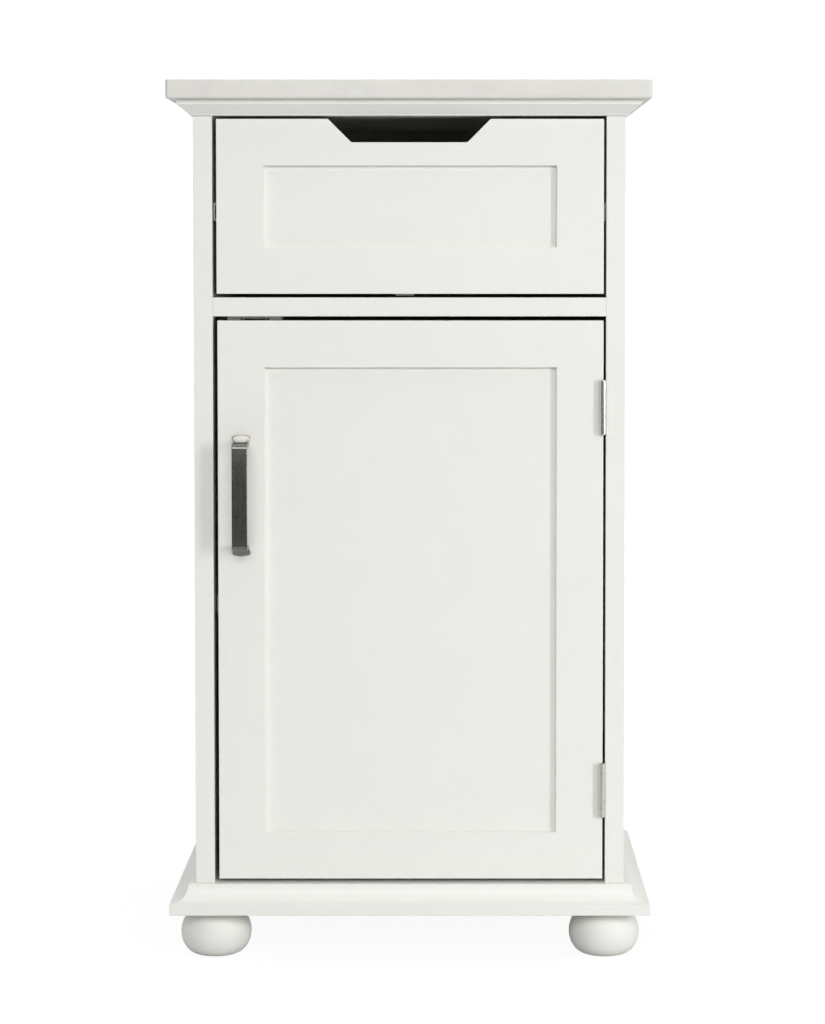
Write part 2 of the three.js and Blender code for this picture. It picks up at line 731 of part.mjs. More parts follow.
function boxFront() {
  const inner = FACE_BACK + BOX_BOARD;
  const shape = outline([
    [FACE_BACK, BOX_BOTTOM],
    [inner, BOX_BOTTOM],
    [inner, BOX_FLOOR_BOTTOM - FIT],
    [inner - BOX_GROOVE, BOX_FLOOR_BOTTOM - FIT],
    [inner - BOX_GROOVE, BOX_FLOOR_BOTTOM + BOX_FLOOR_THICK + FIT],
    [inner, BOX_FLOOR_BOTTOM + BOX_FLOOR_THICK + FIT],
    [inner, BOX_TOP],
    [FACE_BACK, BOX_TOP],
  ]);
  return extrudeAlongX(shape, -BOX_HALF + BOX_BOARD, BOX_HALF - BOX_BOARD);
}

function batten() {
  const shape = outline([
    [FACE_BACK, BATTEN_BOTTOM],
    [FACE_BACK + BOX_DEPTH, BATTEN_BOTTOM],
    [FACE_BACK + BOX_DEPTH, BOX_FLOOR_BOTTOM],
    [FACE_BACK + BOX_BOARD, BOX_FLOOR_BOTTOM],
    [FACE_BACK + BOX_BOARD, BOX_BOTTOM],
    [FACE_BACK, BOX_BOTTOM],
  ]);
  return extrudeAlongX(shape, BATTEN_LEFT, BATTEN_RIGHT);
}

// Slide members on the right. Their outlines are (distance in from the side panel, height).
function slideMember(points, start, length) {
  const shape = outline(points.map(([u, w]) => [INNER - u, SLIDE_Z + w]));
  return extrudeAlongY(shape, FACE_BACK + start, FACE_BACK + start + length);
}

function outerMember() {
  const half = SLIDE_HEIGHT / 2;
  const lip = OUTER_LIP;
  const wall = SLIDE_WALL;
  const points = [
    [0, -half],
    [lip, -half],
    [lip, -half + wall],
    [wall, -half + wall],
    [wall, half - wall],
    [lip, half - wall],
    [lip, half],
    [0, half],
  ];
  return slideMember(points, 1, SLIDE_LENGTH - 1);
}

function innerMember() {
  const half = INNER_HALF;
  const lip = INNER_LIP;
  const wall = SLIDE_WALL;
  const points = [
    [SLIDE_THICK, -half],
    [lip, -half],
    [lip, -half + wall],
    [SLIDE_THICK - wall, -half + wall],
    [SLIDE_THICK - wall, half - wall],
    [lip, half - wall],
    [lip, half],
    [SLIDE_THICK, half],
  ];
  return slideMember(points, 0.5, SLIDE_LENGTH - 1);
}

function ballCage() {
  const strip = CAGE_STRIP;
  const row = CAGE_ROW;
  const web = CAGE_WEB;
  const reach = CAGE_REACH;
  const points = [
    [web, -row - strip / 2],
    [reach, -row - strip / 2],
    [reach, -row + strip / 2],
    [web + strip, -row + strip / 2],
    [web + strip, row - strip / 2],
    [reach, row - strip / 2],
    [reach, row + strip / 2],
    [web, row + strip / 2],
  ];
  const balls = [];
  for (const side of [-1, 1]) {
    for (let i = 0; i < BALLS_PER_ROW; i += 1) {
      const along = CAGE_START + (CAGE_LENGTH * (i + 0.5)) / BALLS_PER_ROW;
      const ball = new THREE.SphereGeometry(BALL_RADIUS, 10, 6);
      balls.push(ball.translate(INNER - 5, FACE_BACK + along, SLIDE_Z + side * row));
    }
  }
  return combine(slideMember(points, CAGE_START, CAGE_LENGTH), balls, []);
}

function addPair(leftGroup, rightGroup, name, finish, geometry) {
  addPart(leftGroup, `${name}_left`, finish, mirrorX(geometry));
  addPart(rightGroup, `${name}_right`, finish, geometry);
}

function buildDrawer(drawer, cabinet, cageLeft, cageRight) {
  const left = DRAWER_LEFT + FRAME_WIDTH;
  const right = DRAWER_RIGHT - FRAME_WIDTH;
  const bottom = DRAWER_BOTTOM + DRAWER_RAIL;
  const top = DRAWER_TOP - DRAWER_RAIL;
  const rightStile = mirrorX(stile(-DRAWER_RIGHT, -right, DRAWER_BOTTOM, DRAWER_TOP));
  addPart(drawer, 'drawer_stile_left', 'paint', stile(DRAWER_LEFT, left, DRAWER_BOTTOM, DRAWER_TOP));
  addPart(drawer, 'drawer_stile_right', 'paint', rightStile);
  addPart(drawer, 'drawer_rail_top', 'paint', rail(DRAWER_TOP, top, left, right, [notchCutter()]));
  addPart(drawer, 'drawer_rail_bottom', 'paint', rail(DRAWER_BOTTOM, bottom, left, right));
  addPart(drawer, 'drawer_panel', 'paint', framePanel(left, right, bottom, top));

  addPair(drawer, drawer, 'drawer_box_side', 'inner_paint', boxSide());
  addPart(drawer, 'drawer_box_front', 'inner_paint', boxFront());
  const insideHalf = BOX_HALF - BOX_BOARD;
  const boxBack = FACE_BACK + BOX_DEPTH;
  const floorTop = BOX_FLOOR_BOTTOM + BOX_FLOOR_THICK;
  const backBoard = box([-insideHalf, insideHalf], [boxBack - BOX_BOARD, boxBack], [floorTop, BOX_TOP]);
  addPart(drawer, 'drawer_box_back', 'inner_paint', backBoard);
  const floorHalf = insideHalf + BOX_GROOVE - FIT;
  const floorFront = FACE_BACK + BOX_BOARD - BOX_GROOVE + FIT;
  const floor = box([-floorHalf, floorHalf], [floorFront, boxBack], [BOX_FLOOR_BOTTOM, floorTop]);
  addPart(drawer, 'drawer_box_floor', 'inner_paint', floor);
  addPart(drawer, 'drawer_batten', 'inner_paint', batten());

  addPair(cabinet, cabinet, 'slide_outer', 'zinc_steel', outerMember());
  addPair(drawer, drawer, 'slide_inner', 'zinc_steel', innerMember());
  addPair(cageLeft, cageRight, 'ball_cage', 'zinc_steel', ballCage());
}

// ---- Assembly -----------------------------------------------------------------------------

function bodyGroup(parent, name) {
  const group = new THREE.Group();
  group.name = name;
  parent.add(group);
  return group;
}

const assembly = new THREE.Group();
assembly.name = 'apothecary_cabinet';
const cabinetGroup = bodyGroup(assembly, 'cabinet_body');
const doorGroup = bodyGroup(assembly, 'door_body');
const drawerGroup = bodyGroup(assembly, 'drawer_body');
const cageLeftGroup = bodyGroup(assembly, 'cage_left_body');
const cageRightGroup = bodyGroup(assembly, 'cage_right_body');
buildCabinet(cabinetGroup);
buildDoor(doorGroup, cabinetGroup);
buildDrawer(drawerGroup, cabinetGroup, cageLeftGroup, cageRightGroup);

export default assembly;
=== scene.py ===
import json
import math

import bmesh
import bpy
from bpy.props import FloatProperty, FloatVectorProperty, IntProperty, PointerProperty
from mathutils import Matrix, Vector


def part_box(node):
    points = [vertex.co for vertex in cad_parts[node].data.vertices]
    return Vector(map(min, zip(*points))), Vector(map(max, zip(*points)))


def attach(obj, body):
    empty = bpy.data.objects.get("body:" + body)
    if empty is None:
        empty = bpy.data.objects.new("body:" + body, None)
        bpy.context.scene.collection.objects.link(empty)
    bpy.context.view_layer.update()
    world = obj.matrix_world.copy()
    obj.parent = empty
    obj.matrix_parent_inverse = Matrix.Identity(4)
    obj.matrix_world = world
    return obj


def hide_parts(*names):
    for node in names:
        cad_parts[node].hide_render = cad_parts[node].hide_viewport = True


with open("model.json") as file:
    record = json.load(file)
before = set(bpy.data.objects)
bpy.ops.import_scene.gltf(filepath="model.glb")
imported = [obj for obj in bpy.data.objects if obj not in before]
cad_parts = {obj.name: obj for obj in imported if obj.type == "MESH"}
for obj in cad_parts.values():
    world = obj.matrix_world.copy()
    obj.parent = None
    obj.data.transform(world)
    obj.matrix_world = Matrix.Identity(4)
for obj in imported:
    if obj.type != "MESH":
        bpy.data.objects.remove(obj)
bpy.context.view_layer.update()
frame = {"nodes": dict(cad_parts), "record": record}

bl_info = {
    "name": "Apothecary Cabinet",
    "version": (1, 0, 0),
    "blender": (4, 5, 0),
    "location": "View3D > Sidebar > Cabinet",
    "description": "Builds the finished pieces of a small painted cabinet around its solid model",
    "category": "Object",
}

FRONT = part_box("side_panel_left")[0].y
MM = 0.001

SLAB_LOWER_EASE = 2.0 * MM
SLAB_UPPER_EASE = 1.1 * MM
SLAB_CORNER = 3.0 * MM

STILE_WIDTH = 45.0 * MM
DOOR_RAIL_HEIGHT = 45.0 * MM
DRAWER_RAIL_HEIGHT = 44.5 * MM
NOTCH_HALF_MOUTH = 77.5 * MM
NOTCH_HALF_FLOOR = 55.3 * MM
NOTCH_DEPTH = 22.2 * MM

PULL_WIDTH = 14.6 * MM
PULL_THICKNESS = 3.2 * MM
PULL_TAB = 7.4 * MM
PULL_BOW = 0.9 * MM

KNUCKLE_RADIUS = 3.5 * MM
KNUCKLE_BORE = 1.58 * MM
KNUCKLE_GAP = 0.15 * MM
KNUCKLES = 6
LEAF_THICKNESS = 1.2 * MM
LEAF_CLEARANCE = 0.05 * MM
LEAF_JOINT = 1.25 * MM

CAMERA_PLACE = (0.0405, -2.85, 0.6777)
CAMERA_TILT = 2.75
CAMERA_LENS = 99.44
CAMERA_SHIFT = (-0.0384, -0.12)

WHITE = (1.0, 1.0, 1.0, 1.0)


# ---- Settings -----------------------------------------------------------------------------


def length(name, description, default):
    return FloatProperty(name=name, description=description, default=default, min=0.0,
                         unit="LENGTH", precision=5)


def colour(name, description, default):
    return FloatVectorProperty(name=name, description=description, default=default, size=3,
                               min=0.0, max=1.0, subtype="COLOR")


def factor(name, description, default):
    return FloatProperty(name=name, description=description, default=default, min=0.0, max=1.0,
                         subtype="FACTOR")


class CabinetSizes(bpy.types.PropertyGroup):
    """Sizes of the small shapes that the solid model leaves plain."""

    board_ease: length("Board Ease", "Rounding of the carcass boards' edges", 0.5 * MM)
    front_ease: length("Front Ease", "Rounding of the door's and drawer front's outer edges", 0.6 * MM)
    recess_ease: length("Recess Ease", "Rounding of the edges round the recessed panels", 0.9 * MM)
    moulding_ease: length("Moulding Ease", "Rounding of the mouldings' long corners", 0.5 * MM)
    strap_ease: length("Strap Ease", "Rounding of the pull's long edges", 0.45 * MM)
    hinge_ease: length("Hinge Ease", "Rounding of the knuckles' ends", 0.2 * MM)
    round_steps: IntProperty(name="Round Steps", description="Sides of turned pieces", default=72,
                             min=12, max=256)


class CabinetFinishes(bpy.types.PropertyGroup):
    """Colours and gloss of the finishes."""

    paint: colour("Paint", "Satin paint outside", (0.80, 0.806, 0.765))
    paint_roughness: factor("Paint Roughness", "Gloss of the outer paint", 0.42)
    inner_paint: colour("Inner Paint", "Flat paint inside", (0.80, 0.795, 0.76))
    marble: colour("Marble", "Ground colour of the slab", (0.665, 0.655, 0.615))
    marble_vein: colour("Marble Vein", "Colour of the slab's veins", (0.56, 0.56, 0.55))
    # Painted shade: the pull's metal colour is set far darker than nickel's own, standing in for the
    # dark room that its bar reflects.
    brushed_nickel: colour("Brushed Nickel", "Metal of the pull", (0.205, 0.195, 0.18))
    bright_nickel: colour("Bright Nickel", "Metal of the hinges", (0.70, 0.68, 0.64))
    zinc: colour("Zinc", "Plated steel of screws, pins and slides", (0.58, 0.60, 0.62))
    plastic: colour("Plastic", "Moulded catch body", (0.80, 0.79, 0.74))


class CabinetStage(bpy.types.PropertyGroup):
    """Lights and floor."""

    key_power: FloatProperty(name="Key Power", description="Tall light from the right front",
                             default=36.0, min=0.0, unit="POWER")
    top_power: FloatProperty(name="Top Power", description="Soft light overhead",
                             default=13.6, min=0.0, unit="POWER")
    fill_power: FloatProperty(name="Fill Power", description="Soft light over the camera",
                              default=61.0, min=0.0, unit="POWER")
    room_light: factor("Room Light", "Strength of the light from all round", 0.77)
    floor_radius: length("Floor Radius", "Size of the floor disc", 2.0)


# ---- Shader helpers -----------------------------------------------------------------------


class Value:
    """A shader socket used as a number in sums."""

    def __init__(self, graph, socket):
        self.graph = graph
        self.socket = socket

    def _sum(self, operation, first, second=None):
        inputs = {0: first} if second is None else {0: first, 1: second}
        return self.graph.node("ShaderNodeMath", {"operation": operation}, inputs)

    def __add__(self, other):
        return self._sum("ADD", self, other)

    __radd__ = __add__

    def __sub__(self, other):
        return self._sum("SUBTRACT", self, other)

    def __rsub__(self, other):
        return self._sum("SUBTRACT", other, self)

    def __mul__(self, other):
        return self._sum("MULTIPLY", self, other)

    __rmul__ = __mul__

    def __pow__(self, other):
        return self._sum("POWER", self, other)

    def __abs__(self):
        return self._sum("ABSOLUTE", self)

    def at_most(self, other):
        return self._sum("MINIMUM", self, other)

    def at_least(self, other):
        return self._sum("MAXIMUM", self, other)

    def limited(self):
        return self.at_most(1.0).at_least(0.0)


class Graph:
    """The nodes of one material or world."""

    def __init__(self, tree):
        self.tree = tree
        tree.nodes.clear()

    def node(self, kind, settings=None, inputs=None, output=0):
        """A new node. Its settings are set first, then the values or links of its sockets."""
        made = self.tree.nodes.new(kind)
        for key, value in (settings or {}).items():
            setattr(made, key, value)
        for key, value in (inputs or {}).items():
            if isinstance(value, Value):
                self.tree.links.new(value.socket, made.inputs[key])
            else:
                made.inputs[key].default_value = value
        return Value(self, made.outputs[output]) if made.outputs else made

    def place(self, scale=(1.0, 1.0, 1.0), turn=(0.0, 0.0, 0.0)):
        """Object coordinates in metres, stretched by scale."""
        spot = self.node("ShaderNodeTexCoord", output="Object")
        return self.node("ShaderNodeMapping", {}, {"Vector": spot, "Scale": scale, "Rotation": turn})

    def noise(self, vector, scale, detail=2.0, roughness=0.5, distortion=0.0):
        return self.node("ShaderNodeTexNoise", {}, {
            "Vector": vector, "Scale": scale, "Detail": detail,
            "Roughness": roughness, "Distortion": distortion,
        })

    def mix(self, amount, first, second):
        """A colour between first and second. Sockets 6, 7 and 2 are the Mix node's colour ones."""
        inputs = {0: amount, 6: first, 7: second}
        return self.node("ShaderNodeMix", {"data_type": "RGBA"}, inputs, output=2)

    def bump(self, height, depth, strength=1.0, under=None):
        inputs = {"Height": height, "Distance": depth, "Strength": strength}
        if under is not None:
            inputs["Normal"] = under
        return self.node("ShaderNodeBump", {}, inputs)


def rgba(shade, by=1.0):
    """A colour made lighter or darker, with its alpha."""
    return tuple(min(part * by, 1.0) for part in shade) + (1.0,)


def new_finish(name, inputs_of, **fixed):
    """A material. inputs_of(graph) gives the varying sockets, and fixed holds the uniform ones."""
    finish = bpy.data.materials.get(name)
    if finish is not None:
        return finish
    finish = bpy.data.materials.new(name)
    finish.use_nodes = True
    graph = Graph(finish.node_tree)
    inputs = {key.replace("_", " "): value for key, value in fixed.items()}
    inputs.update(inputs_of(graph))
    surface = graph.node("ShaderNodeBsdfPrincipled", {}, inputs)
    graph.node("ShaderNodeOutputMaterial", {}, {"Surface": surface})
    return finish


def paint_finish(name, shade, gloss_roughness):
    """Sprayed satin paint: a faint orange peel, slight unevenness of tone and gloss."""

    def inputs_of(graph):
        spot = graph.place()
        cloud = graph.noise(spot, 5.0, 3.0)
        peel = graph.noise(spot, 420.0, 2.0, 0.45)
        grain = graph.noise(spot, 2600.0, 1.0)
        film = graph.noise(spot, 38.0, 4.0, 0.6)
        tone = (cloud * 0.6 + film * 0.4).limited()
        coloured = graph.mix(tone, rgba(shade, 0.965), rgba(shade, 1.03))
        gloss = gloss_roughness - 0.05 + film * 0.06 + grain * 0.05
        wave = graph.bump(film, 0.00012, 0.35)
        skin = graph.bump(peel, 0.00004, 0.5, wave)
        fine = graph.bump(grain, 0.000012, 0.35, skin)
        return {"Base Color": coloured, "Roughness": gloss, "Normal": fine}

    return new_finish(name, inputs_of, IOR=1.47)


def marble_finish(settings):
    """Honed pale marble with soft clouds, drifting veins and a crystalline grain."""

    def inputs_of(graph):
        spot = graph.place((1.0, 1.3, 1.6), (0.3, 0.5, 0.6))
        drift = graph.noise(spot, 3.1, 4.0, 0.6, 0.4)
        cloud = graph.noise(spot, 6.5, 8.0, 0.62, 1.2)
        wander = graph.noise(spot, 4.2, 9.0, 0.58, 1.8)
        fine = graph.noise(spot, 13.0, 8.0, 0.6, 1.1)
        crystal = graph.noise(spot, 900.0, 2.0, 0.7)
        broad_vein = (1 - abs(wander - 0.5) * 16).limited() ** 2
        thin_vein = (1 - abs(fine - 0.52) * 46).limited() ** 1.5
        vein = (broad_vein * drift * 0.9 + thin_vein * (1 - drift) * 0.55).limited()
        ground = graph.mix(cloud, rgba(settings.marble, 0.94), rgba(settings.marble, 1.08))
        veined = graph.mix(vein * 0.62, ground, rgba(settings.marble_vein))
        warm = graph.mix((drift - 0.42).limited() * 1.6, veined, (0.70, 0.655, 0.60, 1.0))
        sparkle = graph.mix(crystal * 0.12, warm, (0.9, 0.9, 0.88, 1.0))
        gloss = 0.34 + cloud * 0.14 + vein * 0.08
        return {
            "Base Color": sparkle,
            "Roughness": gloss,
            "Normal": graph.bump(crystal, 0.00001, 0.3),
        }

    return new_finish("honed_marble", inputs_of, IOR=1.45)


def metal_finish(name, shade, rough, streak, streak_scale, dents=0.2):
    """Plated metal with drawn-out streaks, handling marks and a slight waviness."""

    def inputs_of(graph):
        lines = graph.noise(graph.place(streak_scale), 1.0, 3.0, 0.6)
        spot = graph.place()
        smudge = graph.noise(spot, 90.0, 4.0, 0.6)
        speck = graph.noise(spot, 1400.0, 2.0, 0.5)
        tone = (lines * 0.5 + smudge * 0.5).limited()
        coloured = graph.mix(tone, rgba(shade, 0.88), rgba(shade, 1.1))
        gloss = rough - streak * 0.5 + lines * streak + smudge * 0.06
        wave = graph.bump(smudge, 0.00006, dents)
        brushed = graph.bump(lines, 0.00002, streak * 2.5, wave)
        return {
            "Base Color": coloured,
            "Roughness": gloss,
            "Normal": graph.bump(speck, 0.000006, 0.25, brushed),
        }

    return new_finish(name, inputs_of, Metallic=1.0)


def plastic_finish(name, shade):
    """Moulded plastic with a fine spark-eroded texture."""

    def inputs_of(graph):
        spot = graph.place()
        grain = graph.noise(spot, 1800.0, 2.0, 0.6)
        cloud = graph.noise(spot, 60.0, 2.0)
        coloured = graph.mix(cloud, rgba(shade, 0.95), rgba(shade, 1.04))
        return {
            "Base Color": coloured,
            "Roughness": 0.46 + grain * 0.1,
            "Normal": graph.bump(grain, 0.00002, 0.4),
        }

    return new_finish(name, inputs_of, IOR=1.46)


def magnet_finish():
    """Dark sintered ferrite."""

    def inputs_of(graph):
        grain = graph.noise(graph.place(), 1500.0, 3.0, 0.7)
        coloured = graph.mix(grain, (0.018, 0.017, 0.016, 1.0), (0.045, 0.043, 0.04, 1.0))
        return {
            "Base Color": coloured,
            "Roughness": 0.6 + grain * 0.2,
            "Normal": graph.bump(grain, 0.00003, 0.6),
        }

    return new_finish("sintered_ferrite", inputs_of)


def floor_finish():
    """Matt pale floor, darker well in front of the object and lifted to white, so no horizon shows."""
    finish = bpy.data.materials.new("floor_white")
    finish.use_nodes = True
    graph = Graph(finish.node_tree)
    spot = graph.place()
    depth = graph.node("ShaderNodeSeparateXYZ", {}, {"Vector": spot}, output="Y")
    shade = ((-0.9 - depth) * 2.5).limited() * 0.9 + graph.noise(spot, 1.5, 2.0) * 0.05
    tone = graph.mix(shade, (0.70, 0.70, 0.70, 1.0), (0.30, 0.30, 0.30, 1.0))
    matt = graph.node("ShaderNodeBsdfPrincipled", {}, {"Base Color": tone, "Roughness": 0.9})
    white = graph.node("ShaderNodeEmission", {}, {"Color": WHITE, "Strength": 1.06})
    reach = graph.node("ShaderNodeVectorMath", {"operation": "LENGTH"}, {0: spot}, output="Value")
    rim = ((reach - 0.7) * 1.6).limited()
    seen = graph.node("ShaderNodeLightPath", output="Is Camera Ray")
    share = (0.88 + rim * 0.12) * seen
    shown = graph.node("ShaderNodeMixShader", {}, {0: share, 1: matt, 2: white})
    graph.node("ShaderNodeOutputMaterial", {}, {"Surface": shown})
    return finish


def finish_for(slot):
    """The material of one of the record's slots."""
    settings = bpy.context.scene.cabinet_finishes
    if slot == "paint":
        return paint_finish("satin_paint", settings.paint, settings.paint_roughness)
    if slot == "inner_paint":
        return paint_finish("flat_inner_paint", settings.inner_paint, 0.6)
    if slot == "marble":
        return marble_finish(settings)
    # The pull's finish takes that darkened nickel colour, which is painted shade for the dark room that
    # it reflects.
    if slot == "brushed_nickel":
        return metal_finish("brushed_nickel_strap", settings.brushed_nickel, rough=0.24, streak=0.1,
                            streak_scale=(2400.0, 2400.0, 25.0), dents=0.08)
    if slot == "bright_nickel":
        return metal_finish("bright_nickel_plate", settings.bright_nickel, rough=0.26, streak=0.08,
                            streak_scale=(900.0, 900.0, 300.0), dents=0.12)
    if slot == "zinc_steel":
        return metal_finish("zinc_plated_steel", settings.zinc, rough=0.34, streak=0.1,
                            streak_scale=(700.0, 60.0, 700.0))
    if slot == "pale_plastic":
        return plastic_finish("moulded_plastic", settings.plastic)
    return magnet_finish()


# ---- Mesh helpers -------------------------------------------------------------------------


def add_piece(name, mesh, body, slot, replaced=(), smooth_degrees=32.0):
    """Turns a bmesh into a piece that rides on a body and stands for some CAD nodes."""
    data = bpy.data.meshes.new(name)
    bmesh.ops.recalc_face_normals(mesh, faces=mesh.faces)
    mesh.to_mesh(data)
    mesh.free()
    data.shade_smooth()
    data.set_sharp_from_angle(angle=math.radians(smooth_degrees))
    piece = bpy.data.objects.new(name, data)
    bpy.context.scene.collection.objects.link(piece)
    data.materials.append(finish_for(slot))
    flatten = piece.modifiers.new("flat faces", "WEIGHTED_NORMAL")
    flatten.keep_sharp = True
    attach(piece, body)
    if replaced:
        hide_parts(*replaced)


def sharp_edges(mesh, degrees, wanted):
    """Edges where two faces meet at more than an angle, and for which wanted(edge) is true."""
    limit = math.radians(degrees)
    found = []
    for edge in mesh.edges:
        if len(edge.link_faces) != 2 or edge.calc_face_angle() < limit:
            continue
        if wanted is None or wanted(edge):
            found.append(edge)
    return found


def ease(mesh, width, steps=3, wanted=None, degrees=25.0):
    """Rounds a mesh's sharp edges, or those that wanted(edge) is true for."""
    mesh.normal_update()
    edges = sharp_edges(mesh, degrees, wanted)
    bmesh.ops.bevel(mesh, geom=edges, offset=width, offset_type="OFFSET", segments=steps,
                    profile=0.5, affect="EDGES", clamp_overlap=True)


def box_mesh(low, high, mesh=None):
    """A box between two corners, added to a mesh or to a new one."""
    mesh = mesh or bmesh.new()
    corners = [
        mesh.verts.new((x, y, z))
        for x in (low[0], high[0]) for y in (low[1], high[1]) for z in (low[2], high[2])
    ]
    for ring in ((0, 1, 3, 2), (4, 6, 7, 5), (0, 4, 5, 1), (2, 3, 7, 6), (0, 2, 6, 4), (1, 5, 7, 3)):
        mesh.faces.new([corners[i] for i in ring])
    return mesh


def prism_mesh(polygons, to_point, start, end, mesh=None):
    """Solid between two copies of some joined polygons. to_point turns (a, b, run) into a place."""
    mesh = mesh or bmesh.new()
    made = {}

    def corner(point, run):
        key = (round(point[0], 7), round(point[1], 7), run)
        if key not in made:
            made[key] = mesh.verts.new(to_point(point[0], point[1], run))
        return made[key]

    sides = {}
    for polygon in polygons:
        for run in (start, end):
            mesh.faces.new([corner(point, run) for point in polygon])
        for a, b in zip(polygon, polygon[1:] + polygon[:1]):
            pair = tuple(sorted((tuple(round(v, 7) for v in a), tuple(round(v, 7) for v in b))))
            sides[pair] = None if pair in sides else (a, b)
    for line in sides.values():
        if line is not None:
            a, b = line
            mesh.faces.new([corner(a, start), corner(b, start), corner(b, end), corner(a, end)])
    bmesh.ops.recalc_face_normals(mesh, faces=mesh.faces)
    return mesh


def join_rings(mesh, rings):
    """Skins each ring of points to the next. A ring of one point makes a fan."""
    for first, second in zip(rings, rings[1:]):
        steps = max(len(first), len(second))
        if steps == 1:
            continue
        for i in range(steps):
            j = (i + 1) % steps
            if len(first) == 1:
                mesh.faces.new((first[0], second[i], second[j]))
            elif len(second) == 1:
                mesh.faces.new((first[i], first[j], second[0]))
            else:
                mesh.faces.new((first[i], first[j], second[j], second[i]))


def turned_mesh(profile, steps, place, mesh=None):
    """A solid of revolution. profile is (radius, height) pairs, and place moves it from the Z axis."""
    mesh = mesh or bmesh.new()
    rings = []
    for radius, height in profile:
        if radius == 0:
            rings.append([mesh.verts.new(place @ Vector((0, 0, height)))])
            continue
        ring = []
        for i in range(steps):
            angle = 2 * math.pi * i / steps
            point = Vector((radius * math.cos(angle), radius * math.sin(angle), height))
            ring.append(mesh.verts.new(place @ point))
        rings.append(ring)
    join_rings(mesh, rings)
    bmesh.ops.recalc_face_normals(mesh, faces=mesh.faces)
    return mesh


def arc_points(centre, radius, start, end, steps):
    """Points on an arc, in the plane of two coordinates, between two angles in degrees."""
    points = []
    for i in range(steps + 1):
        angle = math.radians(start + (end - start) * i / steps)
        points.append((centre[0] + radius * math.cos(angle), centre[1] + radius * math.sin(angle)))
    return points


def quadratic(start, control, end, steps):
    """Points on a curve from start to end, pulled towards control."""
    points = []
    for i in range(steps + 1):
        t = i / steps
        u = 1 - t
        triples = zip(start, control, end)
        points.append(tuple(u * u * a + 2 * u * t * b + t * t * c for a, b, c in triples))
    return points


def ease_node(node, width, steps=2):
    """Rounds a CAD node's edges with modifiers, which leave its own mesh alone, and gives its finish."""
    piece = frame["nodes"][node]
    weld = piece.modifiers.new("weld", "WELD")
    weld.merge_threshold = 0.00001
    bevel = piece.modifiers.new("ease", "BEVEL")
    bevel.width = width
    bevel.segments = steps
    bevel.limit_method = "ANGLE"
    bevel.angle_limit = math.radians(30)
    bevel.harden_normals = True
    bevel.use_clamp_overlap = True
    finish_node(node)


def finish_node(node):
    """Gives a CAD node the material of its slot."""
    piece = frame["nodes"][node]
    slots = {part["node"]: part["material_slot"] for part in frame["record"]["subparts"]}
    finish = finish_for(slots[node])
    for slot in piece.material_slots:
        slot.material = finish


# ---- Pieces -------------------------------------------------------------------------------


class CABINET_OT_slab(bpy.types.Operator):
    """Builds the marble slab with its eased edges"""

    bl_idname = "cabinet.slab"
    bl_label = "Marble Slab"

    def execute(self, context):
        low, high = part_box("marble_top")
        mesh = bmesh.new()
        rings = []
        for z, inset in self.levels(low.z, high.z):
            outline = self.outline(low, high, inset)
            rings.append([mesh.verts.new((x, y, z)) for x, y in outline])
        join_rings(mesh, rings)
        mesh.faces.new(rings[0])
        mesh.faces.new(rings[-1])
        add_piece("slab", mesh, "cabinet", "marble", ["marble_top"])
        return {"FINISHED"}

    @staticmethod
    def levels(bottom, top):
        """Heights up the slab's edge, and how far each is set in."""
        lower, upper = SLAB_LOWER_EASE, SLAB_UPPER_EASE
        for i in range(6):
            angle = math.radians(90 * i / 5)
            yield bottom + lower - lower * math.cos(angle), lower - lower * math.sin(angle)
        for i in range(5):
            angle = math.radians(90 * i / 4)
            yield top - upper + upper * math.sin(angle), upper - upper * math.cos(angle)

    @staticmethod
    def outline(low, high, inset):
        """The slab's plan with its rounded corners, set in from its box."""
        radius = max(SLAB_CORNER - inset, 0.3 * MM)
        back = inset + radius
        points = []
        for centre, start in (
            ((high.x - back, high.y - back), 0),
            ((low.x + back, high.y - back), 90),
            ((low.x + back, low.y + back), 180),
            ((high.x - back, low.y + back), 270),
        ):
            points += arc_points(centre, radius, start, start + 90, 6)
        return points


def base_outline():
    """The base moulding's outline in millimetres: distance out from the carcass, and height."""
    cove = quadratic((24.0, 10.3), (8.2, 10.0), (6.7, 26.5), 22)
    return [(0.0, 0.0), (24.0, 0.0)] + cove + [(0.0, 26.5)]


def cornice_outline():
    """The cornice's outline in millimetres: a small foot, a straight slope and an upright band."""
    return [(0.0, 0.0), (3.0, 0.0), (3.0, 0.8), (14.5, 10.3), (14.5, 15.0), (0.0, 15.0)]


def moulding_mesh(outline, bottom, side, width):
    """One mitred strip. side is front, left or right."""
    low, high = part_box("bottom_panel")
    ends = {"front": (low.x, high.x), "left": (low.y, high.y), "right": (low.y, high.y)}[side]

    def to_point(out, up, run):
        out, up = out * MM, up * MM
        if side == "front":
            x = ends[run] + (out if run else -out)
            return (x, low.y - out, bottom + up)
        x = low.x - out if side == "left" else high.x + out
        y = ends[run] - (0 if run else out)
        return (x, y, bottom + up)

    mesh = prism_mesh([outline], to_point, 0, 1)
    along = 0 if side == "front" else 1

    def long_corner(edge):
        a, b = edge.verts[0].co, edge.verts[1].co
        if abs((a - b)[along]) < 100 * MM:
            return False
        out = {"front": low.y - a.y, "left": low.x - a.x, "right": a.x - high.x}[side]
        return out > 2 * MM

    ease(mesh, width, 3, long_corner)
    return mesh


class CABINET_OT_mouldings(bpy.types.Operator):
    """Builds the cornice and the base moulding, each of three mitred strips"""

    bl_idname = "cabinet.mouldings"
    bl_label = "Mouldings"

    def execute(self, context):
        width = context.scene.cabinet_sizes.moulding_ease
        for name, outline in (("cornice", cornice_outline()), ("base_moulding", base_outline())):
            for side in ("front", "left", "right"):
                node = f"{name}_{side}"
                mesh = moulding_mesh(outline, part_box(node)[0].z, side, width)
                add_piece(f"{name}_strip_{side}", mesh, "cabinet", "paint", [node])
        return {"FINISHED"}


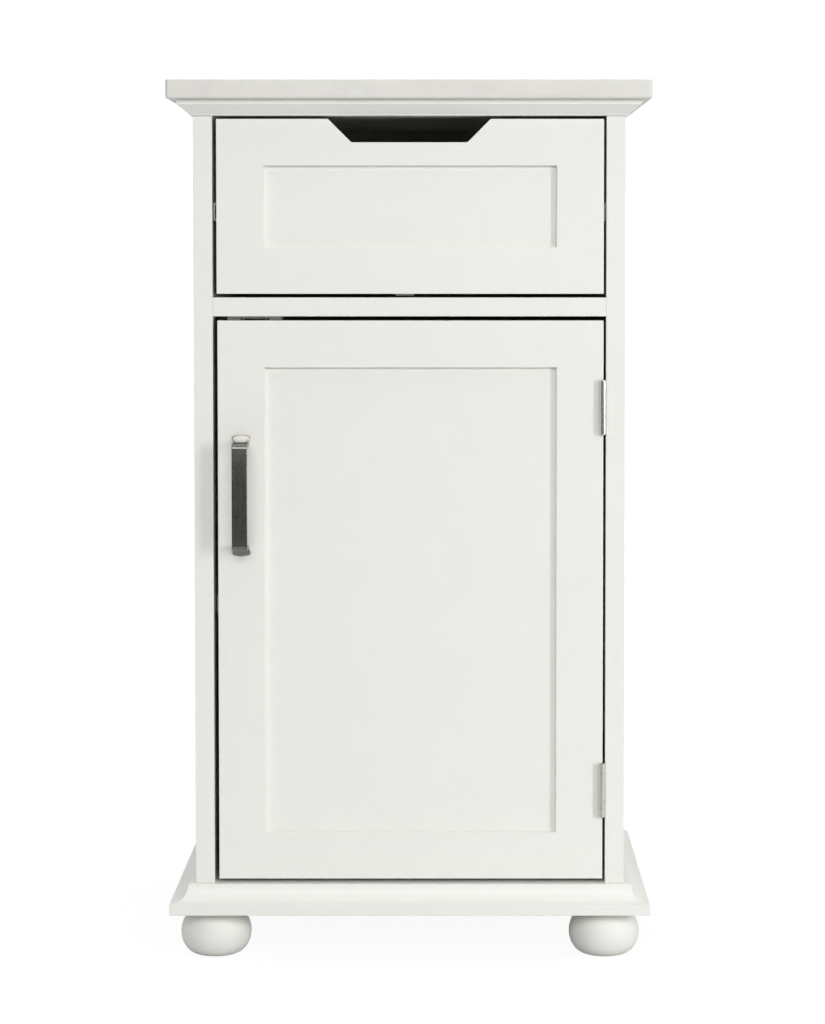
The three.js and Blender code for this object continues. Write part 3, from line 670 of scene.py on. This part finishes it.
class CABINET_OT_carcass(bpy.types.Operator):
    """Eases and paints the carcass boards and the shelf"""

    bl_idname = "cabinet.carcass"
    bl_label = "Carcass"

    def execute(self, context):
        width = context.scene.cabinet_sizes.board_ease
        for node in ("divider_panel", "shelf"):
            low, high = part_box(node)
            mesh = box_mesh(low, high)
            ease(mesh, width)
            slot = "paint" if node == "divider_panel" else "inner_paint"
            add_piece(f"{node}_board", mesh, "cabinet", slot, [node])
        for node in ("side_panel_left", "side_panel_right"):
            ease_node(node, width * 0.7)
        for node in ("top_panel", "bottom_panel", "back_panel"):
            finish_node(node)
        return {"FINISHED"}


def foot_profile(low, high):
    """A bun foot: a small flat, a full round belly and a neck up into the base."""
    flat, belly, middle = 17.0, 34.0, 21.5
    profile = [(0.0, 0.0), (flat - 1.2, 0.0)]
    for i in range(2, 41):
        angle = math.radians(-90 + 180 * i / 40)
        radius = flat + (belly - flat) * math.cos(angle)
        profile.append((radius, middle + middle * math.sin(angle)))
    top = (high.z - low.z) / MM
    profile += [(flat, top), (0.0, top)]
    return [(radius * MM, height * MM) for radius, height in profile]


class CABINET_OT_feet(bpy.types.Operator):
    """Turns the four bun feet and finishes their studs"""

    bl_idname = "cabinet.feet"
    bl_label = "Bun Feet"

    def execute(self, context):
        steps = context.scene.cabinet_sizes.round_steps
        for place in ("front_left", "front_right", "back_left", "back_right"):
            low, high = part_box(f"foot_{place}")
            centre = (low + high) / 2
            turn = Matrix.Translation((centre.x, centre.y, low.z))
            mesh = turned_mesh(foot_profile(low, high), steps, turn)
            add_piece(f"bun_foot_{place}", mesh, "cabinet", "paint", [f"foot_{place}"])
            finish_node(f"foot_stud_{place}")
        return {"FINISHED"}


def frame_polygons(low, high, rail, notch=()):
    """A rectangular frame as four joined polygons in X and Z, with a notch in its top rail."""
    left, right = low.x + STILE_WIDTH, high.x - STILE_WIDTH
    bottom, top = low.z + rail, high.z - rail
    return [
        [(low.x, low.z), (left, bottom), (left, top), (low.x, high.z)],
        [(high.x, low.z), (high.x, high.z), (right, top), (right, bottom)],
        [(low.x, low.z), (high.x, low.z), (right, bottom), (left, bottom)],
        [(left, top), (right, top), (high.x, high.z), *notch, (low.x, high.z)],
    ]


def framed_front(name, nodes, body, polygons, sizes):
    """A painted frame whose joints are filled, with eased outer edges and rounder recess edges."""
    low = Vector((min(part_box(n)[0][i] for n in nodes) for i in range(3)))
    high = Vector((max(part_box(n)[1][i] for n in nodes) for i in range(3)))
    mesh = prism_mesh(polygons, lambda a, b, run: (a, run, b), low.y, high.y)
    edge_reach, notch_reach, margin = 1 * MM, 24 * MM, 40 * MM

    def on_rim(point):
        beside = point.x < low.x + edge_reach or point.x > high.x - edge_reach
        return beside or point.z < low.z + edge_reach or point.z > high.z - notch_reach

    def outer(edge):
        return all(on_rim(vert.co) for vert in edge.verts)

    def on_recess(point):
        inside = low.x + margin < point.x < high.x - margin
        inside = inside and low.z + margin < point.z < high.z - margin
        return inside and abs(point.y - low.y) < 0.1 * MM

    def recess(edge):
        return all(on_recess(vert.co) for vert in edge.verts)

    ease(mesh, sizes.front_ease, 4, outer)
    ease(mesh, sizes.recess_ease, 3, recess)
    add_piece(name, mesh, body, "paint", nodes)


class CABINET_OT_door(bpy.types.Operator):
    """Builds the door's frame and finishes its panel"""

    bl_idname = "cabinet.door"
    bl_label = "Door"

    def execute(self, context):
        sizes = context.scene.cabinet_sizes
        nodes = ["door_stile_left", "door_stile_right", "door_rail_top", "door_rail_bottom"]
        low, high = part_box("door_stile_left")[0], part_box("door_stile_right")[1]
        polygons = frame_polygons(low, high, DOOR_RAIL_HEIGHT)
        framed_front("door_frame", nodes, "door", polygons, sizes)
        finish_node("door_panel")
        return {"FINISHED"}


class CABINET_OT_drawer_front(bpy.types.Operator):
    """Builds the drawer front's frame with its finger notch, and finishes its panel"""

    bl_idname = "cabinet.drawer_front"
    bl_label = "Drawer Front"

    def execute(self, context):
        sizes = context.scene.cabinet_sizes
        nodes = ["drawer_stile_left", "drawer_stile_right", "drawer_rail_top", "drawer_rail_bottom"]
        low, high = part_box("drawer_stile_left")[0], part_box("drawer_stile_right")[1]
        mouth, floor, floor_z = NOTCH_HALF_MOUTH, NOTCH_HALF_FLOOR, high.z - NOTCH_DEPTH
        notch = [(mouth, high.z), (floor, floor_z), (-floor, floor_z), (-mouth, high.z)]
        polygons = frame_polygons(low, high, DRAWER_RAIL_HEIGHT, notch)
        framed_front("drawer_frame", nodes, "drawer", polygons, sizes)
        finish_node("drawer_panel")
        return {"FINISHED"}


class CABINET_OT_drawer_box(bpy.types.Operator):
    """Eases and finishes the drawer box and the slides"""

    bl_idname = "cabinet.drawer_box"
    bl_label = "Drawer Box and Slides"

    def execute(self, context):
        width = context.scene.cabinet_sizes.board_ease
        for node in ("drawer_box_side_left", "drawer_box_side_right", "drawer_box_front",
                     "drawer_box_back", "drawer_batten"):
            ease_node(node, width)
        finish_node("drawer_box_floor")
        for side in ("left", "right"):
            for node in ("slide_outer", "slide_inner", "ball_cage"):
                finish_node(f"{node}_{side}")
        return {"FINISHED"}


def strap_path(half, front, back):
    """The pull's centre line from the upper tab to the lower one: Y, Z and how far it is a tab."""
    leg = half - PULL_THICKNESS / 2
    wall = back - PULL_THICKNESS / 2
    bar = front + PULL_THICKNESS / 2
    root, bend = 2.3 * MM, 2.9 * MM
    reach = wall - root - bar

    def bowed(y, z, tabbed):
        share = min(max(wall - root - y, 0.0) / reach, 1.0)
        return (y + PULL_BOW * share, z, tabbed)

    plain = arc_points((wall - root, leg + root), root, 0, -90, 7)
    plain += [(wall - root - (reach - bend) * i / 6, leg) for i in range(1, 6)]
    plain += arc_points((bar + bend, leg - bend), bend, 90, 180, 8)
    upper = [(wall, half + PULL_TAB * share, share) for share in (1.0, 0.66, 0.33)]
    upper = [bowed(*point) for point in upper + [(y, z, 0.0) for y, z in plain]]
    for i in range(1, 8):
        left = 1 - i / 8
        upper.append((bar + PULL_BOW * left ** 2, (leg - bend) * left, 0.0))
    lower = [(y, -z, tabbed) for y, z, tabbed in reversed(upper)]
    return upper + [(bar, 0.0, 0.0)] + lower


def strap_mesh(low, high):
    """A bent strap with flared, thinning tabs whose ends are shallow arcs."""
    centre = (low + high) / 2
    path = strap_path((high.z - low.z) / 2 - PULL_TAB, low.y, high.y)
    taper, flare, crown = 0.55, 1.2 * MM, 1.7 * MM
    columns = 12
    mesh = bmesh.new()
    layers = {1: [], -1: []}
    for i, (y, z, tabbed) in enumerate(path):
        deep = PULL_THICKNESS * (1 - taper * tabbed)
        y += (PULL_THICKNESS - deep) / 2
        before, after = path[max(i - 1, 0)], path[min(i + 1, len(path) - 1)]
        run = Vector((0, after[0] - before[0], after[1] - before[1])).normalized()
        normal = run.cross(Vector((1, 0, 0)))
        wide = PULL_WIDTH / 2 + min(tabbed * 1.6, 1.0) * flare
        for side, rows in layers.items():
            row = []
            for j in range(columns + 1):
                across = 2 * j / columns - 1
                drop = tabbed * crown * across ** 2 * (1 if z > 0 else -1)
                spot = Vector((centre.x + across * wide, y, centre.z + z - drop))
                row.append(mesh.verts.new(spot + normal * (side * deep / 2)))
            rows.append(row)
    for rows in layers.values():
        for first, second in zip(rows, rows[1:]):
            for j in range(columns):
                mesh.faces.new((first[j], first[j + 1], second[j + 1], second[j]))
    top, under = layers[1], layers[-1]
    for i in range(len(path) - 1):
        for j in (0, columns):
            mesh.faces.new((top[i][j], top[i + 1][j], under[i + 1][j], under[i][j]))
    for i in (0, len(path) - 1):
        for j in range(columns):
            mesh.faces.new((top[i][j], top[i][j + 1], under[i][j + 1], under[i][j]))
    bmesh.ops.recalc_face_normals(mesh, faces=mesh.faces)
    return mesh


class CABINET_OT_pull(bpy.types.Operator):
    """Bends the door's strap pull and finishes its screws"""

    bl_idname = "cabinet.pull"
    bl_label = "Strap Pull"

    def execute(self, context):
        mesh = strap_mesh(*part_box("pull"))
        ease(mesh, context.scene.cabinet_sizes.strap_ease, 3, degrees=50)
        add_piece("strap_pull", mesh, "door", "brushed_nickel", ["pull"], 40)
        for place in ("upper", "lower"):
            finish_node(f"pull_screw_{place}")
        return {"FINISHED"}


def knuckle_profile(radius, bore, bottom, top, rounding):
    """A tube with rounded outer rims, closed on itself."""
    rim = [(radius - rounding + rounding * math.cos(a), top - rounding + rounding * math.sin(a))
           for a in (math.radians(90 * i / 4) for i in range(5))]
    foot = [(radius - rounding + rounding * math.sin(a), bottom + rounding - rounding * math.cos(a))
            for a in (math.radians(90 * i / 4) for i in range(5))]
    wall = [(radius, bottom + 2 * rounding), (radius, top - 2 * rounding)]
    outline = [(bore, bottom)] + foot + wall + rim + [(bore, top)]
    return outline + [outline[0]]


def screw_head(mesh, centre, facing, radius, proud, steps=28):
    """A flush screw head, dished inside a low rim, added to a mesh."""
    turn = facing.to_track_quat("Z", "Y").to_matrix().to_4x4()
    place = Matrix.Translation(centre) @ turn
    profile = [(0.0, proud * 0.4), (radius * 0.55, proud * 0.75), (radius * 0.9, proud),
               (radius, proud * 0.4), (radius, -0.2 * MM), (0.0, -0.2 * MM)]
    turned_mesh(profile, steps, place, mesh)


def leaf_joint():
    """The plane in X where the two leaves of a closed hinge meet."""
    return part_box("door_stile_right")[1].x + LEAF_JOINT


def leaf_mesh(node, side, knuckles, hinge, sizes, steps):
    """One hinge leaf: its plate in the gap beside the door, and the curl into its knuckles."""
    low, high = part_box(node)
    axis_x, axis_y = hinge
    near = leaf_joint() + side * LEAF_CLEARANCE
    far = near + side * LEAF_THICKNESS
    plate_front = FRONT + 0.2 * MM
    plate_low = (min(near, far), plate_front, low.z)
    plate_high = (max(near, far), high.y, high.z)
    mesh = box_mesh(plate_low, plate_high)
    ease(mesh, 0.2 * MM, 2)
    neck_front = axis_y + (0.8 if side > 0 else 1.7) * MM
    pitch = (high.z - low.z) / KNUCKLES
    for i in knuckles:
        bottom = low.z + i * pitch + (0 if i == 0 else KNUCKLE_GAP / 2)
        top = low.z + (i + 1) * pitch - (0 if i == KNUCKLES - 1 else KNUCKLE_GAP / 2)
        profile = knuckle_profile(KNUCKLE_RADIUS, KNUCKLE_BORE, bottom, top, sizes.hinge_ease)
        turned_mesh(profile, steps, Matrix.Translation((axis_x, axis_y, 0)), mesh)
        box_mesh((plate_low[0], neck_front, bottom + 0.1 * MM),
                 (plate_high[0], plate_front + 0.5 * MM, top - 0.1 * MM), mesh)
    return mesh


class CABINET_OT_hinges(bpy.types.Operator):
    """Builds the butt hinges: leaves with knuckles, pins and screws"""

    bl_idname = "cabinet.hinges"
    bl_label = "Butt Hinges"

    def execute(self, context):
        sizes = context.scene.cabinet_sizes
        steps = sizes.round_steps // 2
        for place in ("upper", "lower"):
            low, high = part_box(f"hinge_{place}_pin")
            axis = ((low.x + high.x) / 2, (low.y + high.y) / 2)
            for node, side, knuckles, body in (
                (f"hinge_{place}_frame_leaf", 1, (0, 2, 4), "cabinet"),
                (f"hinge_{place}_door_leaf", -1, (1, 3, 5), "door"),
            ):
                mesh = leaf_mesh(node, side, knuckles, axis, sizes, steps)
                add_piece(f"{node}_finished", mesh, body, "bright_nickel", [node])
                self.add_screws(node, side, body)
            pin = f"hinge_{place}_pin"
            turn = Matrix.Translation((*axis, (low.z + high.z) / 2))
            mesh = turned_mesh(self.pin_profile((high.z - low.z) / 2), steps, turn)
            add_piece(f"{pin}_finished", mesh, "cabinet", "bright_nickel", [pin])
        return {"FINISHED"}

    @staticmethod
    def pin_profile(half):
        """Half the pin's section: a shank with a peened foot and a domed head."""
        head, shank = 2.3 * MM, 1.5 * MM
        return [(0.0, -half), (head * 0.6, -half), (head * 0.95, -half + 0.45 * MM),
                (head * 0.95, -half + 0.8 * MM), (shank, -half + 0.9 * MM),
                (shank, half - 1.0 * MM), (head, half - 0.9 * MM),
                (head, half - 0.5 * MM), (head * 0.6, half), (0.0, half)]

    @staticmethod
    def add_screws(node, side, body):
        """Three staggered screw heads on a leaf's plate."""
        low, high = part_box(node)
        mesh = bmesh.new()
        face_x = leaf_joint() + side * LEAF_CLEARANCE
        for up, inward in ((0.16, 0.62), (0.5, 0.42), (0.84, 0.62)):
            y = FRONT + (high.y - FRONT) * inward
            centre = Vector((face_x, y, low.z + (high.z - low.z) * up))
            screw_head(mesh, centre, Vector((-side, 0, 0)), 2.9 * MM, 0.03 * MM)
        add_piece(f"{node}_screws", mesh, body, "zinc_steel")


class CABINET_OT_catch(bpy.types.Operator):
    """Builds the magnetic catch, its pole plates and the strike plate"""

    bl_idname = "cabinet.catch"
    bl_label = "Magnetic Catch"

    def execute(self, context):
        ease_node("catch_body", 0.6 * MM)
        finish_node("catch_magnet")
        low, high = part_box("catch_magnet")
        mesh = bmesh.new()
        for x in (low.x + 2.0 * MM, high.x - 3.2 * MM):
            plate_low = (x, low.y - 0.15 * MM, low.z + 0.4 * MM)
            plate_high = (x + 1.2 * MM, low.y + 4 * MM, high.z - 0.3 * MM)
            box_mesh(plate_low, plate_high, mesh)
        add_piece("catch_pole_plates", mesh, "cabinet", "zinc_steel")
        low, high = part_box("strike_plate")
        mesh = box_mesh(low, high)
        ease(mesh, 0.4 * MM, 2)
        for share in (0.15, 0.85):
            centre = Vector((low.x + (high.x - low.x) * share, high.y, (low.z + high.z) / 2))
            screw_head(mesh, centre, Vector((0, 1, 0)), 2.6 * MM, 0.25 * MM)
        add_piece("strike_plate_finished", mesh, "door", "zinc_steel", ["strike_plate"])
        return {"FINISHED"}


class CABINET_OT_shelf_pins(bpy.types.Operator):
    """Finishes the shelf's pins"""

    bl_idname = "cabinet.shelf_pins"
    bl_label = "Shelf Pins"

    def execute(self, context):
        for row in ("front", "back"):
            for side in ("left", "right"):
                finish_node(f"shelf_pin_{row}_{side}")
        return {"FINISHED"}


# ---- Stage --------------------------------------------------------------------------------


def area_light(name, place, target, width, height, power):
    """A soft white panel at a place, turned to a target."""
    data = bpy.data.lights.new(name, "AREA")
    data.shape = "RECTANGLE"
    data.size = width
    data.size_y = height
    data.energy = power
    lamp = bpy.data.objects.new(name, data)
    bpy.context.scene.collection.objects.link(lamp)
    lamp.location = place
    lamp.rotation_euler = (Vector(target) - Vector(place)).to_track_quat("-Z", "Y").to_euler()


class CABINET_OT_stage(bpy.types.Operator):
    """Sets the floor, the lights, the room light and the camera"""

    bl_idname = "cabinet.stage"
    bl_label = "Stage"

    def execute(self, context):
        settings = context.scene.cabinet_stage
        self.add_floor(settings.floor_radius)
        for name, place, target, width, height, power in (
            ("key_light", (2.34, -2.18, 0.8), (0.0, -0.15, 0.5), 0.48, 1.15, settings.key_power),
            ("top_light", (0.0, -0.5, 2.6), (0.0, -0.1, 0.4), 2.4, 2.0, settings.top_power),
            ("fill_light", (0.1, -3.3, 1.8), (0.0, -0.1, 0.45), 2.8, 1.4, settings.fill_power),
        ):
            area_light(name, place, target, width, height, power)
        self.set_room(context.scene, settings.room_light)
        self.add_camera(context.scene)
        context.scene.view_settings.view_transform = "Standard"
        return {"FINISHED"}

    @staticmethod
    def add_floor(radius):
        """A round floor, large enough to hold every view."""
        mesh = bmesh.new()
        rings = []
        for share in (0.25, 0.5, 0.75, 1.0):
            ring = arc_points((0.0, 0.0), share * radius, 0, 355, 71)
            rings.append([mesh.verts.new((x, y, 0.0)) for x, y in ring])
        mesh.faces.new(rings[0])
        join_rings(mesh, rings)
        data = bpy.data.meshes.new("floor")
        bmesh.ops.recalc_face_normals(mesh, faces=mesh.faces)
        mesh.to_mesh(data)
        mesh.free()
        floor = bpy.data.objects.new("floor", data)
        bpy.context.scene.collection.objects.link(floor)
        data.materials.append(floor_finish())

    @staticmethod
    def set_room(scene, strength):
        """White all round, with a darker stretch of room in front of the door."""
        world = bpy.data.worlds.new("room")
        world.use_nodes = True
        graph = Graph(world.node_tree)
        heading = graph.node("ShaderNodeTexCoord", output="Generated")
        depth = graph.node("ShaderNodeSeparateXYZ", {}, {"Vector": heading}, output="Y")
        ahead = ((depth * -1.0 - 0.1) * 2.2).limited()
        around = graph.mix(ahead, WHITE, (0.05, 0.048, 0.045, 1.0))
        lit = graph.node("ShaderNodeBackground", {}, {"Color": around, "Strength": strength})
        plain = graph.node("ShaderNodeBackground", {}, {"Color": WHITE, "Strength": 1.05})
        seen = graph.node("ShaderNodeLightPath", output="Is Camera Ray")
        shown = graph.node("ShaderNodeMixShader", {}, {0: seen, 1: lit, 2: plain})
        graph.node("ShaderNodeOutputWorld", {}, {"Surface": shown})
        scene.world = world

    @staticmethod
    def add_camera(scene):
        """A camera in front of the door, tipped slightly down."""
        data = bpy.data.cameras.new("camera")
        data.lens = CAMERA_LENS
        data.sensor_width = 36.0
        data.shift_x, data.shift_y = CAMERA_SHIFT
        data.clip_end = 50.0
        camera = bpy.data.objects.new("camera", data)
        scene.collection.objects.link(camera)
        camera.location = CAMERA_PLACE
        camera.rotation_euler = (math.radians(90.0 - CAMERA_TILT), 0.0, 0.0)
        scene.camera = camera


# ---- Panel and registration ---------------------------------------------------------------


PIECE_OPERATORS = (
    CABINET_OT_slab,
    CABINET_OT_mouldings,
    CABINET_OT_carcass,
    CABINET_OT_feet,
    CABINET_OT_door,
    CABINET_OT_drawer_front,
    CABINET_OT_drawer_box,
    CABINET_OT_pull,
    CABINET_OT_hinges,
    CABINET_OT_catch,
    CABINET_OT_shelf_pins,
    CABINET_OT_stage,
)


class CABINET_PT_main(bpy.types.Panel):
    """Lists the pieces"""

    bl_idname = "CABINET_PT_main"
    bl_label = "Cabinet"
    bl_space_type = "VIEW_3D"
    bl_region_type = "UI"
    bl_category = "Cabinet"

    def draw(self, context):
        column = self.layout.column()
        for operator in PIECE_OPERATORS:
            column.operator(operator.bl_idname)
        for group in ("cabinet_sizes", "cabinet_finishes", "cabinet_stage"):
            settings = getattr(context.scene, group)
            for key in settings.bl_rna.properties.keys():
                if key not in ("rna_type", "name"):
                    column.prop(settings, key)


CLASSES = (CabinetSizes, CabinetFinishes, CabinetStage) + PIECE_OPERATORS + (CABINET_PT_main,)


def register():
    for item in CLASSES:
        bpy.utils.register_class(item)
    bpy.types.Scene.cabinet_sizes = PointerProperty(type=CabinetSizes)
    bpy.types.Scene.cabinet_finishes = PointerProperty(type=CabinetFinishes)
    bpy.types.Scene.cabinet_stage = PointerProperty(type=CabinetStage)


def unregister():
    del bpy.types.Scene.cabinet_stage
    del bpy.types.Scene.cabinet_finishes
    del bpy.types.Scene.cabinet_sizes
    for item in reversed(CLASSES):
        bpy.utils.unregister_class(item)


def main():
    register()
    for operator in PIECE_OPERATORS:
        group, name = operator.bl_idname.split(".")
        getattr(getattr(bpy.ops, group), name)()


if __name__ == "__main__":
    main()
